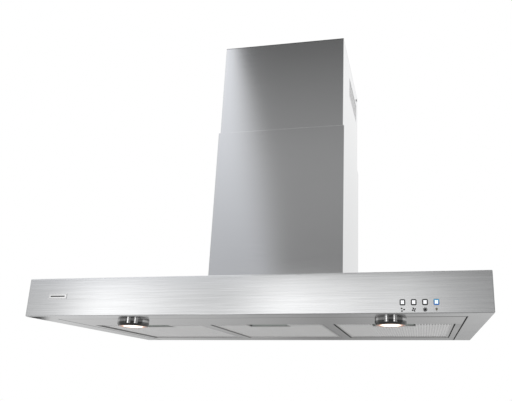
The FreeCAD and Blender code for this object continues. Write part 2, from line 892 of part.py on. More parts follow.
def filter_frame(x):
    """The folded channel frame, the latch housing with its finger slot, and the two rear tabs."""
    outer = block(x - filter_half, x + filter_half, filter_front, filter_back, filter_face, filter_top)
    window = block(x - filter_half + filter_rail, x + filter_half - filter_rail,
                   filter_front + filter_rail, filter_back - filter_rail,
                   filter_face - overrun, filter_top + overrun)
    groove = block(x - filter_half + filter_skin, x + filter_half - filter_skin,
                   filter_front + filter_skin, filter_back - filter_skin,
                   filter_face + filter_skin, filter_top - filter_skin)
    shape = outer.cut(window).cut(groove).fuse(handle_box(x))
    half = handle_width / 2
    pocket = block(x - half, x + half, pocket_front, pocket_back,
                   filter_face + handle_floor, filter_top - handle_wall)
    slot = block(x - half, x + half, pocket_front, pocket_front + handle_depth,
                 filter_face - overrun, filter_top - handle_wall)
    tongue_half = latch_tongue_width / 2 + latch_gap
    doorway = block(x - tongue_half, x + tongue_half, filter_front - overrun, pocket_front + overrun,
                    latch_floor - running_gap, latch_floor + latch_thickness + latch_gap)
    shape = shape.cut(pocket).cut(slot).cut(doorway)
    for side in (-1, 1):
        middle = x + side * filter_half * rear_tab_spread_share
        tab = block(middle - rear_tab_width / 2, middle + rear_tab_width / 2,
                    filter_back - filter_skin, openings_back + rear_tab_reach,
                    lip_top + running_gap, lip_top + running_gap + rear_tab_thickness)
        shape = shape.fuse(tab)
    return shape.removeSplitter()


def filter_mesh(x):
    """The mesh cassette: a pad with a grooved face whose bars run from front to back."""
    x_half = filter_half - filter_skin - running_gap
    y0 = filter_front + filter_skin + running_gap
    y1 = filter_back - filter_skin - running_gap
    z0 = filter_face + filter_skin
    pad = block(x - x_half, x + x_half, y0, y1, z0, z0 + mesh_thickness)
    room = filter_half - filter_rail
    columns = int(2 * room / mesh_pitch)
    start = x - columns * mesh_pitch / 2
    row = (filter_back - filter_front - 2 * filter_rail) / mesh_rows
    grooves = []
    for i in range(columns):
        gx = start + i * mesh_pitch + mesh_bar / 2
        for j in range(mesh_rows):
            gy = filter_front + filter_rail + j * row + mesh_row_bar / 2
            grooves.append(
                block(gx, gx + mesh_pitch - mesh_bar, gy, gy + row - mesh_row_bar,
                      z0 - overrun, z0 + mesh_groove_depth)
            )
    pad = pad.cut(Part.makeCompound(grooves))
    half = handle_width / 2 + handle_wall + running_gap
    notch = block(x - half, x + half, y0 - overrun, pocket_back + handle_wall + running_gap,
                  z0 - overrun, z0 + mesh_thickness + overrun)
    pad = pad.cut(notch)
    return max(pad.Solids, key=lambda s: s.Volume)


def filter_latch(x):
    """The sliding latch: a plate with a tongue over the panel's lip and a grip for the finger."""
    half = handle_width / 2 - latch_side_gap
    z0 = latch_floor
    z1 = z0 + latch_thickness
    plate_front = pocket_front + latch_gap
    plate_back = pocket_front + handle_depth
    plate = block(x - half, x + half, plate_front, plate_back, z0, z1)
    tongue = block(x - latch_tongue_width / 2, x + latch_tongue_width / 2, tongue_tip, plate_back, z0, z1)
    grip = block(x - half, x + half, plate_back - latch_grip_thickness, plate_back,
                 filter_face + handle_floor + running_gap, z1)
    return plate.fuse([tongue, grip]).removeSplitter()


def latch_spring(x):
    """Two small springs that push the latch forward, drawn at their rest length."""
    y0 = pocket_front + handle_depth
    z = (filter_face + handle_floor + running_gap + latch_floor + latch_thickness) / 2
    spread = handle_width / 2 * latch_spring_spread_share
    return Part.makeCompound([
        rod(latch_spring_radius, pocket_back - y0, (x + side * spread, y0, z), Y_AXIS) for side in (-1, 1)
    ])


# Lamps

def lamp_heights():
    """Heights of the lens's rim, of the ledge that carries it and of the ledge's top."""
    rim = underside - lamp_drop + lamp_lens_recess
    ledge = rim + lamp_lens_thickness
    return rim, ledge, ledge + lamp_ledge


def lamp_ring(x):
    """The ring below the panel with its bevel, and the sleeve that goes up through the hole."""
    rim, ledge, ledge_top = lamp_heights()
    low = underside - lamp_drop
    throat = lamp_lens_radius + running_gap
    sleeve = lamp_sleeve_radius - lamp_sleeve_wall
    return turned([
        (throat, rim), (throat, ledge), (lamp_lens_radius - lamp_ledge, ledge),
        (lamp_lens_radius - lamp_ledge, ledge_top), (sleeve, ledge_top),
        (sleeve, underside + lamp_sleeve_height), (lamp_sleeve_radius, underside + lamp_sleeve_height),
        (lamp_sleeve_radius, underside), (lamp_radius, underside), (lamp_radius, underside - lamp_side),
        (lamp_radius - lamp_bevel, low + lamp_ledge / 3), (lamp_radius - lamp_face, low),
    ], x, lamp_y)


def lamp_lens(x):
    """The round lens, crowned downwards, held up against the ring's ledge."""
    rim, ledge, ledge_top = lamp_heights()
    crown = FreeCAD.Vector(x, lamp_y, rim - lamp_lens_crown)
    edge = FreeCAD.Vector(x + lamp_lens_radius, lamp_y, rim)
    between = FreeCAD.Vector(x + lamp_lens_radius / 2, lamp_y, rim - lamp_lens_crown * 3 / 4)
    top_edge = FreeCAD.Vector(x + lamp_lens_radius, lamp_y, ledge)
    top_middle = FreeCAD.Vector(x, lamp_y, ledge)
    outline = Part.Wire([
        Part.Arc(crown, between, edge).toShape(),
        Part.LineSegment(edge, top_edge).toShape(),
        Part.LineSegment(top_edge, top_middle).toShape(),
        Part.LineSegment(top_middle, crown).toShape(),
    ])
    return Part.Face(outline).revolve(top_middle, Z_AXIS, 360)


def lamp_reflector(x):
    """The reflector cone on the ledge, open at its neck for the bulb."""
    rim, ledge, z = lamp_heights()
    top = z + reflector_height
    mouth = lamp_lens_radius - lamp_ledge
    wall = reflector_wall
    return turned([
        (mouth, z), (lamp_sleeve_radius - lamp_sleeve_wall - running_gap, z),
        (lamp_sleeve_radius - lamp_sleeve_wall - running_gap, z + wall), (mouth, z + wall),
        (reflector_neck, top), (reflector_neck - wall, top), (reflector_neck - wall, top - wall),
    ], x, lamp_y)


def lamp_socket(x):
    """The bulb and the socket that stands on the reflector's neck."""
    top = lamp_heights()[2] + reflector_height
    socket = rod(socket_radius, socket_height, (x, lamp_y, top), Z_AXIS)
    bulb = rod(bulb_radius, bulb_length, (x, lamp_y, top - bulb_length), Z_AXIS)
    tip = [e for e in bulb.Edges if on_plane(e.CenterOfMass.z, top - bulb_length)]
    return socket.fuse(bulb.makeFillet(bulb_radius * 2 / 3, tip)).removeSplitter()


def lamp_clips():
    """Two bent clips a lamp, each on the sleeve and on the panel."""
    pieces = []
    for side in (-1, 1):
        for turn in (0, 180):
            foot = block(lamp_sleeve_radius, lamp_sleeve_radius + clip_reach, -clip_width / 2, clip_width / 2,
                         panel_inside, panel_inside + clip_thickness)
            leg = block(lamp_sleeve_radius, lamp_sleeve_radius + clip_thickness,
                        -clip_width / 2, clip_width / 2, panel_inside, panel_inside + clip_height)
            clip = foot.fuse(leg).removeSplitter()
            clip.rotate(FreeCAD.Vector(0, 0, 0), Z_AXIS, turn)
            pieces.append(clip.translated(FreeCAD.Vector(side * lamp_spacing / 2, lamp_y, 0)))
    return Part.makeCompound(pieces)


# Controls

def switch_front():
    """The front face of the switches, which the button stems enter."""
    return front - button_proud + button_body + stem_length() - stem_entry


def stem_length():
    """The stem from the back of a cap into its switch."""
    return button_travel + 2 * stem_entry


def button(x, z):
    """One push button: a rounded cap and the stem that works the switch."""
    y0 = front - button_proud
    cap = rounded_bar(button_width, button_height, button_corner, x, z, y0, y0 + button_body)
    face = [e for e in cap.Edges if on_plane(e.BoundBox.YMin, y0) and on_plane(e.BoundBox.YMax, y0)]
    cap = cap.makeFillet(button_proud / 3, face)
    stem = rod(stem_radius, stem_length(), (x, y0 + button_body, z), Y_AXIS)
    return cap.fuse(stem).removeSplitter()


def housing_span():
    """The left and right ends of the button housing."""
    places = button_places()
    margin = rim_width / 2 + housing_margin
    return places[0][0] - margin, places[-1][0] + margin


def button_housing():
    """The moulding behind the fascia: a rim round each cap, a plate and a wall back to the board."""
    x0, x1 = housing_span()
    z0 = button_z - rim_height / 2 - housing_margin
    z1 = button_z + rim_height / 2 + housing_margin
    y0 = front + sheet
    shape = block(x0, x1, y0, switch_front() + switch_depth, z0, z1)
    shape = shape.cut(
        block(x0 + housing_wall, x1 - housing_wall,
              y0 + housing_plate, switch_front() + switch_depth + overrun,
              z0 + housing_wall, z1 - housing_wall)
    )
    for x, z in button_places():
        shape = shape.fuse(
            rounded_bar(rim_width, rim_height, rim_corner, x, z, front - rim_proud, y0 + housing_plate)
        )
        bore_corner = button_corner + button_gap
        shape = shape.cut(
            rounded_bar(button_width + 2 * button_gap, button_height + 2 * button_gap, bore_corner,
                        x, z, front - overrun, y0 + housing_plate + overrun)
        )
    return shape.removeSplitter()


def switch_board():
    """The board on the back of the housing, with a switch behind each button."""
    x0, x1 = housing_span()
    z0 = button_z - rim_height / 2 - housing_margin
    z1 = button_z + rim_height / 2 + housing_margin
    y = switch_front() + switch_depth
    shape = block(x0, x1, y, y + board_thickness, z0, z1)
    for x, z in button_places():
        body = block(x - switch_size / 2, x + switch_size / 2, switch_front(), y,
                     z - switch_size / 2, z + switch_size / 2)
        bore = rod(stem_radius + stem_fit, switch_depth - switch_floor, (x, switch_front(), z), Y_AXIS)
        shape = shape.fuse(body.cut(bore))
    return shape.removeSplitter()


def control_box():
    """The tray that holds the control electronics, standing on the panel's front strip."""
    x0 = control_x - control_width / 2
    y0 = panel_front + service_margin
    top = panel_inside + control_height
    tray = block(x0, x0 + control_width, y0, y0 + control_depth, panel_inside, top)
    return tray.cut(
        block(x0 + control_wall, x0 + control_width - control_wall, y0 + control_wall,
              y0 + control_depth - control_wall, panel_inside + control_wall, top + overrun)
    )


def control_box_lid():
    """The lid of the control box, with a rim that fits inside it."""
    x0 = control_x - control_width / 2
    y0 = panel_front + service_margin
    top = panel_inside + control_height
    inset = control_wall + running_gap
    plate = block(x0, x0 + control_width, y0, y0 + control_depth, top, top + control_lid)
    rim = block(x0 + inset, x0 + control_width - inset, y0 + inset, y0 + control_depth - inset,
                top - control_lid, top)
    return plate.fuse(rim).removeSplitter()


def lamp_driver():
    """The lamps' power supply: a block with a foot at each end."""
    y0 = panel_front + service_margin
    x0 = driver_x - driver_width / 2
    body = block(x0, x0 + driver_width, y0, y0 + driver_depth, panel_inside, panel_inside + driver_height)
    foot = block(x0 - driver_foot, x0 + driver_width + driver_foot, y0 + driver_depth / 4,
                 y0 + driver_depth * 3 / 4, panel_inside, panel_inside + driver_foot_thickness)
    return body.fuse(foot).removeSplitter()


def terminal_box():
    """The mains terminal box on the right side of the blower box."""
    y1 = -terminal_setback
    z0 = top_face + terminal_rise
    shape = block(box_half, box_half + terminal_width, y1 - terminal_depth, y1, z0, z0 + terminal_height)
    upright = [e for e in shape.Edges if on_plane(e.BoundBox.ZLength, terminal_height)]
    outer = [e for e in upright if e.CenterOfMass.x > box_half + terminal_width / 2]
    return shape.makeFillet(control_wall, outer)


def cable_gland():
    """The gland on the terminal box that the mains cable enters through."""
    x = box_half + terminal_width / 2
    y = -terminal_setback - terminal_depth / 2
    z = top_face + terminal_rise + terminal_height
    body = rod(gland_radius, gland_height, (x, y, z), Z_AXIS)
    nut_radius = gland_radius + gland_nut_extra
    angles = [math.radians(i * 60) for i in range(6)]
    corners = [FreeCAD.Vector(x + nut_radius * math.cos(a), y + nut_radius * math.sin(a), z) for a in angles]
    nut = Part.Face(Part.makePolygon(corners + corners[:1])).extrude(FreeCAD.Vector(0, 0, gland_nut_height))
    bore = rod(gland_bore, gland_height + overrun, (x, y, z), Z_AXIS)
    return body.fuse(nut).cut(bore).removeSplitter()


def build():
    """Writes every sub-part."""
    os.makedirs("parts", exist_ok=True)
    save("canopy_fascia", canopy_fascia())
    save("canopy_top", canopy_top())
    save("canopy_back", canopy_back())
    save("bottom_panel", bottom_panel())
    save("front_partition", front_partition())
    save("badge_plate", badge_plate())
    save("lower_chimney_cover", lower_chimney_cover())
    save("upper_chimney_cover", upper_chimney_cover())
    save("chimney_bracket", chimney_bracket())
    save("cover_screws", cover_screws())
    save("vent_grille_right", vent_grille())
    save("vent_grille_left", mirrored(vent_grille()))
    save("cover_glides", cover_glides())
    save("wall_plate", wall_plate())
    save("blower_box", blower_box())
    save("blower_screws", blower_screws())
    save("volute_right", volute())
    save("volute_left", mirrored(volute()))
    save("impeller", impeller())
    save("motor", motor())
    save("motor_shaft", motor_shaft())
    save("motor_bracket", motor_bracket())
    save("motor_grommets", motor_grommets())
    save("capacitor", capacitor())
    save("outlet_collar", outlet_collar())
    save("damper_pin", damper_pin())
    save("damper_flap_front", damper_flap())
    back_flap = damper_flap()
    back_flap.rotate(FreeCAD.Vector(0, duct_y, 0), Z_AXIS, 180)
    save("damper_flap_back", back_flap)
    for name, x in zip(filter_names, opening_centres):
        save("filter_frame_" + name, filter_frame(x))
        save("filter_mesh_" + name, filter_mesh(x))
        save("filter_latch_" + name, filter_latch(x))
        save("latch_spring_" + name, latch_spring(x))
    for name, side in (("left", -1), ("right", 1)):
        x = side * lamp_spacing / 2
        save("lamp_ring_" + name, lamp_ring(x))
        save("lamp_lens_" + name, lamp_lens(x))
        save("lamp_reflector_" + name, lamp_reflector(x))
        save("lamp_socket_" + name, lamp_socket(x))
    save("lamp_clips", lamp_clips())
    for name, (x, z) in zip(button_names, button_places()):
        save(name, button(x, z))
    save("button_housing", button_housing())
    save("switch_board", switch_board())
    save("control_box", control_box())
    save("control_box_lid", control_box_lid())
    save("lamp_driver", lamp_driver())
    save("terminal_box", terminal_box())
    save("cable_gland", cable_gland())


build()
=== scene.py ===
import json
import math

import bpy
import numpy as np
from mathutils import Matrix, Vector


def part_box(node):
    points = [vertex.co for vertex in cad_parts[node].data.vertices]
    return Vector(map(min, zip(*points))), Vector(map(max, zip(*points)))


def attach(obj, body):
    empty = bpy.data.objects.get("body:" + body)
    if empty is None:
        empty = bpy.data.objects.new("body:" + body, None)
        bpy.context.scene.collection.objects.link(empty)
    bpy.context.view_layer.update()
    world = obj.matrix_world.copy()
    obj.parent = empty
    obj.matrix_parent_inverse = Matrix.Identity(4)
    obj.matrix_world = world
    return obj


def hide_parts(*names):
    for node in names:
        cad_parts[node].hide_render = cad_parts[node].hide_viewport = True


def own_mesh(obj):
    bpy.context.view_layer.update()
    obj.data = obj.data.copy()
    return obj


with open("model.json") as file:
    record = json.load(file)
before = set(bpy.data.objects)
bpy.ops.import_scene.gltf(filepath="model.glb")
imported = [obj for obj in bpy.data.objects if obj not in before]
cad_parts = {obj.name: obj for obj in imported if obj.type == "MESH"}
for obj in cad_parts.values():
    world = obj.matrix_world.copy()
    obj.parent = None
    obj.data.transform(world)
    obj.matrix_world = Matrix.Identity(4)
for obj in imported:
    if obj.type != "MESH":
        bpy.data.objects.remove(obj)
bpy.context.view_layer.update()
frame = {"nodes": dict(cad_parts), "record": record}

MM = 0.001
SIDES = ("left", "middle", "right")
BLACK = (0.0, 0.0, 0.0, 1.0)


def middle_and_half(node):
    """The middle of a node's box, and half its size."""
    lo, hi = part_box(node)
    return (lo + hi) / 2, (hi - lo) / 2


# Materials

class Wire:
    """A number that varies over a surface. Arithmetic on it adds Math nodes."""

    def __init__(self, nodes, socket):
        self.nodes = nodes
        self.socket = socket

    def maths(self, operation, first, second=0.0):
        return self.nodes.node("ShaderNodeMath", {"operation": operation}, {0: first, 1: second})

    def __add__(self, other):
        return self.maths("ADD", self, other)

    def __sub__(self, other):
        return self.maths("SUBTRACT", self, other)

    def __mul__(self, other):
        return self.maths("MULTIPLY", self, other)

    def __truediv__(self, other):
        return self.maths("DIVIDE", self, other)

    def __rsub__(self, other):
        return self.maths("SUBTRACT", other, self)

    __radd__ = __add__
    __rmul__ = __mul__

    def above(self, edge):
        """One where the number is above the edge, nought below it."""
        return self.maths("GREATER_THAN", self, edge)

    def size(self):
        """The number without its sign."""
        return self.maths("ABSOLUTE", self)

    def root(self):
        """The square root."""
        return self.maths("SQRT", self)

    def bearing(self, ahead):
        """The angle towards a place that lies this far aside and so far ahead."""
        return self.maths("ARCTAN2", self, ahead)

    def fraction(self):
        """What is left over the whole number below."""
        return self.maths("FRACT", self)

    def nearest(self, step):
        """How far the number is from the nearest whole number of steps, with its sign."""
        return ((self / step + 0.5).fraction() - 0.5) * step

    def least(self, other):
        """The smaller of the two."""
        return self.maths("MINIMUM", self, other)

    def most(self, other):
        """The larger of the two."""
        return self.maths("MAXIMUM", self, other)

    def towards(self, other, share):
        """This number where the share is nought, the other where it is one."""
        return self * (1 - share) + other * share

    def ramp(self, low, high):
        """A smooth rise from nought at low to one at high, or a fall where high is below low."""
        return self.nodes.node(
            "ShaderNodeMapRange", {"interpolation_type": "SMOOTHSTEP"},
            {"Value": self, "From Min": low, "From Max": high},
        )


class Nodes:
    """A tree of shader nodes, with one method that adds any node to it."""

    def __init__(self, tree):
        self.tree = tree

    def node(self, kind, settings, sockets, output=0):
        """Adds a node, sets its settings first and then the value or link of each named socket."""
        made = self.tree.nodes.new(kind)
        for setting, value in settings.items():
            setattr(made, setting, value)
        for socket, value in sockets.items():
            if isinstance(value, Wire):
                self.tree.links.new(value.socket, made.inputs[socket])
            else:
                made.inputs[socket].default_value = value
        return Wire(self, made.outputs[output])

    def split(self, vector):
        """The three parts of a vector as separate numbers."""
        parts = self.node("ShaderNodeSeparateXYZ", {}, {"Vector": vector}).socket.node
        return [Wire(self, socket) for socket in parts.outputs]


class Finish(Nodes):
    """One material on the principled shader."""

    def __init__(self, name, uniform):
        self.material = bpy.data.materials.new(name)
        self.material.use_nodes = True
        super().__init__(self.material.node_tree)
        self.shader = self.tree.nodes["Principled BSDF"]
        for socket, value in uniform.items():
            self.shader.inputs[socket].default_value = value
        self.place = self.node("ShaderNodeTexCoord", {}, {}, "Object")

    def axes(self):
        """The three object coordinates as separate numbers."""
        return self.split(self.place)

    def grain(self, count, detail=2.0, blur=0.5):
        """Noise from nought to one, with so many features a metre: one count for every direction,
        or one for each axis."""
        counts = count if isinstance(count, tuple) else (count, count, count)
        place = self.node("ShaderNodeVectorMath", {"operation": "MULTIPLY"}, {0: self.place, 1: counts})
        return self.node(
            "ShaderNodeTexNoise", {}, {"Vector": place, "Scale": 1.0, "Detail": detail, "Roughness": blur}
        )

    def cells(self, count, output="Distance"):
        """Of so many scattered points a metre, the distance to the nearest, or its own colour."""
        return self.node("ShaderNodeTexVoronoi", {}, {"Vector": self.place, "Scale": count}, output)

    def tint(self, share, low, high):
        """A colour between low and high."""
        return self.node("ShaderNodeMix", {"data_type": "RGBA"}, {0: share, 6: low, 7: high}, 2)

    def feed(self, socket, value):
        self.tree.links.new(value.socket, self.shader.inputs[socket])

    def emboss(self, height, depth, strength):
        """Tilts the surface by a height that runs from nought to one, times a depth in metres."""
        sockets = {"Height": height, "Distance": depth, "Strength": strength}
        self.feed("Normal", self.node("ShaderNodeBump", {}, sockets))


def grey(level, warm=0.0):
    """A grey with a little more red and less blue where it is warm."""
    return (level * (1 + warm), level, level * (1 - warm), 1.0)


def painted_groove_shade(x, y, z):
    """Painted shade in the groove round the bottom panel and on the bends beside it, from nought to one:
    heavy along the right side and at the front's right end, faint along the rest. The distances from the
    side and front grooves are scaled, so that each line has its own width."""
    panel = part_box("bottom_panel")[0]
    inset = 7.75 * MM
    sideways = (x.size() + (panel.x + inset)) * (x.above(0.0) * 0.35 + 0.65)
    forward = (panel.y + inset - y) * 0.38
    line = sideways.most(forward).size().ramp(2.0 * MM, 1.3 * MM)
    # painted shade: how dark each groove and bend line is painted, heavy on the right, faint elsewhere
    groove_shade_strength = 0.95 - forward.above(sideways) * (0.75 - x.ramp(0.20, 0.34) * 0.70)
    groove_shade_strength = groove_shade_strength * (1 - sideways.above(forward) * x.ramp(0.1, -0.1) * 0.7)
    return line * groove_shade_strength * z.ramp(panel.z + 10 * MM, panel.z + 9 * MM)


def brushed_steel(name, level, roughness, contrast):
    """Stainless steel brushed level: long thin lines in tone, gloss and height, with highlights drawn out
    across the lines, and a painted highlight in a band along the top of the fascia."""
    f = Finish(name, {"Metallic": 1.0, "Anisotropic": 0.5, "Anisotropic Rotation": 0.25})
    hair = f.grain((16.0, 16.0, 1200.0), 3.0)
    line = f.grain((7.0, 7.0, 520.0))
    cloud = f.grain((3.0, 3.0, 5.0), 1.0)
    brush = (hair - 0.5) * 0.8 + (line - 0.5) * 0.7
    x, y, z = f.axes()
    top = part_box("canopy_fascia")[1].z
    # painted highlight: a lighter band along the top of the fascia
    band = z.ramp(top - 40 * MM, top - 8 * MM) * z.ramp(top + 2 * MM, top + 1 * MM)
    share = brush * contrast + (cloud - 0.5) * 0.05 + 0.5 + band * 0.25
    steel = f.tint(share, grey(level * 0.84, -0.008), grey(level * 1.16, -0.008))
    # painted shade in the bottom panel's groove and on its bends, towards near black
    f.feed("Base Color", f.tint(painted_groove_shade(x, y, z), steel, grey(0.05)))
    f.feed("Roughness", brush * 0.05 + (cloud - 0.5) * 0.02 + roughness)
    f.emboss(hair, 0.006 * MM, 0.4)
    return f


def chimney_steel(name):
    """The covers' finer brushed steel: a dark line along the upper cover's top edge, and darker lines
    along the lower cover's front corner bends."""
    f = brushed_steel(name, 0.66, 0.13, 0.22)
    x, y, z = f.axes()
    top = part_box("upper_chimney_cover")[1].z
    dark_top_line = z.ramp(top - 2.4 * MM, top - 1.6 * MM)
    lo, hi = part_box("lower_chimney_cover")
    # darker lines along the lower cover's front corner bends
    corner = (x.size() - hi.x).size().ramp(0.9 * MM, 0.4 * MM)
    corner = corner * (y - lo.y).size().ramp(1.6 * MM, 0.6 * MM)
    steel = Wire(f, f.shader.inputs["Base Color"].links[0].from_socket)
    f.feed("Base Color", f.tint(dark_top_line.most(corner * 0.8), steel, grey(0.30)))
    return f


def underside_steel(name):
    """The polished, finely brushed underside: lines from left to right, faint wiping marks, painted shade
    in the bottom panel's groove, and a strip of painted shade right of the right filter that darkens
    towards the front."""
    f = Finish(name, {"Metallic": 1.0})
    hair = f.grain((14.0, 1500.0, 1500.0), 3.0)
    line = f.grain((6.0, 260.0, 260.0))
    wipe = f.grain((5.0, 9.0, 5.0), 3.0, 0.6)
    share = (hair - 0.5) * 0.5 + (line - 0.5) * 0.5 + 0.5
    x, y, z = f.axes()
    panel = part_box("bottom_panel")[0]
    lo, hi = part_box("filter_frame_right")
    # painted shade: a strip right of the right filter, darkest at the front
    strip = x.ramp(hi.x, hi.x + 1 * MM) * x.ramp(-panel.x, -panel.x - 1 * MM)
    strip = strip * y.ramp(lo.y - 1 * MM, lo.y) * y.ramp(lo.y + 130 * MM, lo.y + 10 * MM)
    strip = strip * z.ramp(panel.z + 2 * MM, panel.z + 1 * MM)
    sheet = f.tint(share, grey(0.58), grey(0.68))
    # painted shade in the panel's groove and in the strip, towards near black
    f.feed("Base Color", f.tint(painted_groove_shade(x, y, z).most(strip * 0.42), sheet, grey(0.05)))
    f.feed("Roughness", wipe * 0.05 + (hair - 0.5) * 0.03 + 0.08)
    f.emboss(hair, 0.006 * MM, 0.3)
    return f


def galvanised_steel(name):
    """Zinc-coated sheet: a spangle of flat crystals, each with its own tone and gloss."""
    f = Finish(name, {"Metallic": 1.0})
    tone = f.node("ShaderNodeSeparateColor", {}, {"Color": f.cells(90.0, "Color")})
    dust = f.grain(700.0, 3.0)
    share = tone * 0.6 + dust * 0.4
    f.feed("Base Color", f.tint(share, grey(0.40, -0.02), grey(0.60, -0.02)))
    f.feed("Roughness", tone * 0.16 + dust * 0.08 + 0.34)
    f.emboss(dust, 0.03 * MM, 0.3)
    return f


def polished_metal(name, level, roughness, warm=0.0):
    """Plated or polished metal with faint turning marks and a trace of dust."""
    f = Finish(name, {"Metallic": 1.0})
    dust = f.grain(900.0)
    haze = f.grain(60.0)
    f.feed("Base Color", f.tint(haze, grey(level * 0.93, warm), grey(level, warm)))
    f.feed("Roughness", dust * 0.04 + haze * 0.04 + roughness)
    return f


def moulded_plastic(name, colour, roughness, texture=0.06 * MM, count=900.0, spread=0.16):
    """Moulded plastic: a fine spark-eroded grain, slow tone changes and a soft gloss. The texture
    is the grain's depth, the spread how far its tone goes either side of the colour."""
    f = Finish(name, {})
    pits = f.grain(count)
    flow = f.grain(25.0)
    dark = tuple(c * (1 - spread) for c in colour) + (1.0,)
    light = tuple(min(c * (1 + spread), 1.0) for c in colour) + (1.0,)
    f.feed("Base Color", f.tint(flow * 0.6 + pits * 0.4, dark, light))
    f.feed("Roughness", pits * 0.12 + (flow - 0.5) * 0.08 + roughness)
    f.emboss(pits, texture, 0.4)
    return f


def filter_aluminium(name):
    """Bare rolled aluminium: faint rolling lines from front to back and small dull patches. The frames'
    sides carry painted shade where they sit in the gaps of their openings, the left frame's left side
    most."""
    f = Finish(name, {"Metallic": 1.0})
    x = f.axes()[0]
    middle, half = middle_and_half("filter_frame_right")
    aside = x.nearest(middle.x)
    # painted shade along the frames' sides in their gaps, wider on the left frame's left side
    left_gap_shade_width = 1.8 * MM + x.ramp(-0.1, -0.2) * 4.6 * MM
    painted_gap_shade_right = aside.ramp(half.x - 1.6 * MM, half.x - 1.1 * MM)
    painted_gap_shade_left = (left_gap_shade_width - aside).ramp(half.x, half.x + 0.5 * MM)
    rolled = f.grain((1300.0, 12.0, 1300.0))
    patch = f.grain(45.0, 3.0)
    sheet = f.tint(rolled * 0.5 + patch * 0.5, grey(0.56, 0.004), grey(0.72, 0.004))
    f.feed("Base Color", f.tint(painted_gap_shade_right.most(painted_gap_shade_left), sheet, grey(0.10)))
    f.feed("Roughness", rolled * 0.10 + patch * 0.10 + 0.26)
    f.emboss(rolled, 0.01 * MM, 0.3)
    return f


RIB_PITCH = 5.8 * MM
RIB_BAND = 30 * MM


def mesh_aluminium(name):
    """Layers of expanded mesh: diamonds of bright strand with painted shade in the gaps. The ribs'
    valleys are darker with dirt and painted shade, most of all in the band at the front."""
    f = Finish(name, {"Metallic": 1.0})
    x, y = f.axes()[:2]
    wide, long = 1.3 * MM, 2.6 * MM
    along = (x / wide + y / long).fraction() - 0.5
    across = (x / wide - y / long).fraction() - 0.5
    gap = along.size().least(across.size()).ramp(0.06, 0.22)
    middle, half = middle_and_half("filter_mesh_right")
    valley = ((x.nearest(middle.x).size() / RIB_PITCH).fraction() - 0.5).size().ramp(0.34, 0.16)
    inner = half.y - RIB_BAND
    band = (y - middle.y).size().ramp(inner, inner + 1 * MM)
    # the rib valleys darkened: partly dirt, partly painted shade, darkest in the front band
    dull = valley * (band * (0.50 - y.ramp(middle.y, middle.y + inner) * 0.44) + 0.12)
    patch = f.grain(60.0)
    strand = f.tint(patch * 0.6, grey(0.98, 0.004), grey(0.86, 0.004))
    # the diamond gaps get painted shade as well
    f.feed("Base Color", f.tint((gap * 0.15 + dull).least(1.0), strand, grey(0.20)))
    f.feed("Roughness", gap * 0.15 + patch * 0.1 + 0.30)
    f.emboss(1 - gap, 0.10 * MM, 0.4)
    return f


def from_lamp(x, y, node):
    """How far a place lies to the side of its lamp's own line, behind it, and away from it. The two
    lamps lie as far left and right of the hood's middle, so that one box serves both."""
    middle = middle_and_half(node)[0]
    aside = x.size() - middle.x
    behind = y - middle.y
    return aside, behind, (aside * aside + behind * behind).root()


def ring_chrome(name):
    """Dark chrome with painted reflections: the wall is painted darker below, two painted streak
    highlights run down its front, the bevelled edge is painted black, and the rim of the throat is
    painted a warm brown reflection of the lamp's light, with a painted glow."""
    f = Finish(name, {"Metallic": 1.0, "Emission Strength": 1.0})
    x, y, z = f.axes()
    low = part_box("lamp_ring_right")[0].z
    aside, behind, far = from_lamp(x, y, "lamp_ring_right")
    dust = f.grain(900.0)
    # painted reflection: the wall is painted dark below and grey above
    wall = f.tint(z.ramp(low + 7.4 * MM, low + 8.8 * MM), grey(0.14), grey(0.46))
    right = x.above(0.0)
    from_middle = (aside.bearing(0 - behind) - (right * 0.481 - 0.417)).size()
    # painted highlights: two bright streak highlights at set bearings on each lamp's front
    painted_streak_highlights = (from_middle - (right * 0.039 + 0.234)).size().ramp(0.15, 0.09)
    # painted shade: the bevelled edge is painted black and made less metallic
    painted_black_bevel = z.ramp(low + 5.0 * MM, low + 4.2 * MM)
    chrome = f.tint(painted_black_bevel, f.tint(painted_streak_highlights, wall, grey(0.95)), grey(0.025))
    # painted reflection of the lamp's light: the throat's rim is painted warm brown
    rim = far.ramp(28.6 * MM, 27.4 * MM)
    f.feed("Base Color", f.tint(rim, chrome, (0.20, 0.13, 0.10, 1.0)))
    f.feed("Roughness", dust * 0.03 + 0.02)
    f.feed("Metallic", 1 - painted_black_bevel * 0.7)
    cast = f.grain(160.0)
    # painted glow: the rim is made to glow warm, though it is no lamp
    painted_copper_glow = f.tint(cast, (0.075, 0.026, 0.015, 1.0), (0.16, 0.07, 0.045, 1.0))
    glow = f.tint(far.ramp(24.0 * MM, 21.2 * MM), painted_copper_glow, (0.62, 0.30, 0.20, 1.0))
    f.feed("Emission Color", f.tint(rim, BLACK, glow))
    return f


def lit_lens(name):
    """Frosted glass lit from behind: almost white in the middle, warm towards the rim."""
    f = Finish(name, {"Emission Strength": 2.6, "Roughness": 0.25, "Coat Weight": 0.3})
    x, y = f.axes()[:2]
    far = from_lamp(x, y, "lamp_lens_right")[2]
    radius = middle_and_half("lamp_lens_right")[1].x
    rim = far.ramp(radius * 0.78, radius)
    frost = f.grain(1200.0)
    f.feed("Base Color", f.tint(frost, (0.80, 0.72, 0.62, 1.0), (0.86, 0.80, 0.70, 1.0)))
    f.feed("Emission Color", f.tint(rim, (1.0, 0.92, 0.80, 1.0), (0.24, 0.12, 0.07, 1.0)))
    f.emboss(frost, 0.03 * MM, 0.3)
    return f


